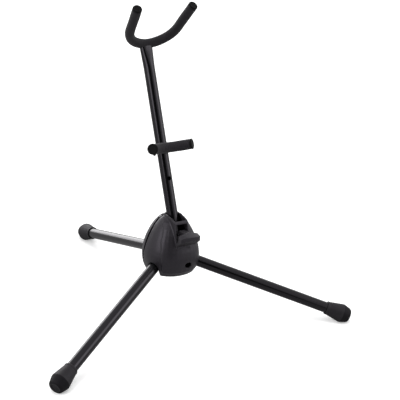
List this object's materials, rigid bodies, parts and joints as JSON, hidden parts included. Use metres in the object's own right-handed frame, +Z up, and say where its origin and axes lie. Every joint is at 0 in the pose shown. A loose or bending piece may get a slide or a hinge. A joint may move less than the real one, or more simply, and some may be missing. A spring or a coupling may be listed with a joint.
{
  "type": "folding saxophone stand",
  "caption": "Folding tripod stand that holds a saxophone upright: a padded yoke for the bell, a padded rest for the body, a leaning tube and round legs on a domed hub.",
  "frame": {"origin": "bottom centre of the whole stand's box, on the floor", "axes": "+Z up; the player's side faces -Y and the upright leans back towards +Y; +X is to the right seen from the player's side"},
  "size_m": [0.4824, 0.4204, 0.4428],
  "materials": {
    "black_paint": "gloss",
    "hub_plastic": "satin",
    "rubber": "matte",
    "foam": "soft matte",
    "steel": "zinc plated"
  },
  "bodies": {
    "hub": {"hub_front_shell": "hub_plastic", "hub_rear_shell": "hub_plastic", "hub_screw_upper_left": "steel", "hub_screw_upper_right": "steel", "hub_screw_lower_left": "steel", "hub_screw_lower_right": "steel", "leg_pin_rear": "steel", "leg_pin_front_left": "steel", "leg_pin_front_right": "steel", "upright_pin": "steel", "lever_pin": "steel", "lever_spring": "steel"},
    "upright": {"upright_tube": "black_paint", "upright_foot": "hub_plastic", "yoke_rod": "black_paint", "yoke_sleeve": "foam", "yoke_cap_left": "rubber", "yoke_cap_right": "rubber", "rest_washer": "steel"},
    "lower_rest": {"rest_rod": "black_paint", "rest_sleeve": "foam", "rest_cap_left": "rubber", "rest_cap_right": "rubber"},
    "wing_nut": {"wing_nut": "hub_plastic"},
    "lock_lever": {"lock_lever": "hub_plastic"},
    "leg_rear": {"leg_tube_rear": "black_paint", "foot_cap_rear": "rubber"},
    "leg_front_left": {"leg_tube_front_left": "black_paint", "foot_cap_front_left": "rubber"},
    "leg_front_right": {"leg_tube_front_right": "black_paint", "foot_cap_front_right": "rubber"}
  },
  "joints": [
    {"name": "upright_tilt", "type": "hinge", "parent": "hub", "child": "upright", "pos_m": [0, -0.08679, 0.11805], "axis": [1, 0, 0], "range_deg": [0, 18.5]},
    {"name": "lever_press", "type": "hinge", "parent": "hub", "child": "lock_lever", "pos_m": [0, -0.10199, 0.12155], "axis": [1, 0, 0], "range_deg": [0, 12], "stiffness_Nm_per_rad": 0.3, "springref_deg": -9.74},
    {"name": "leg_fold_rear", "type": "hinge", "parent": "hub", "child": "leg_rear", "pos_m": [0, -0.03839, 0.08918], "axis": [-1, 0, 0], "range_deg": [0, 71.8]},
    {"name": "leg_fold_front_left", "type": "hinge", "parent": "hub", "child": "leg_front_left", "pos_m": [-0.02338, -0.07889, 0.08918], "axis": [0.5, -0.866, 0], "range_deg": [0, 71.8]},
    {"name": "leg_fold_front_right", "type": "hinge", "parent": "hub", "child": "leg_front_right", "pos_m": [0.02338, -0.07889, 0.08918], "axis": [0.5, 0.866, 0], "range_deg": [0, 71.8]},
    {"name": "rest_swivel", "type": "hinge", "parent": "upright", "child": "lower_rest", "pos_m": [0, -0.02725, 0.24066], "axis": [0, -0.8996, 0.4368], "range_deg": [-90, 90]},
    {"name": "wing_nut_turn", "type": "hinge", "parent": "lower_rest", "child": "wing_nut", "pos_m": [0, -0.02725, 0.24066], "axis": [0, -0.8996, 0.4368], "continuous": true}
  ]
}
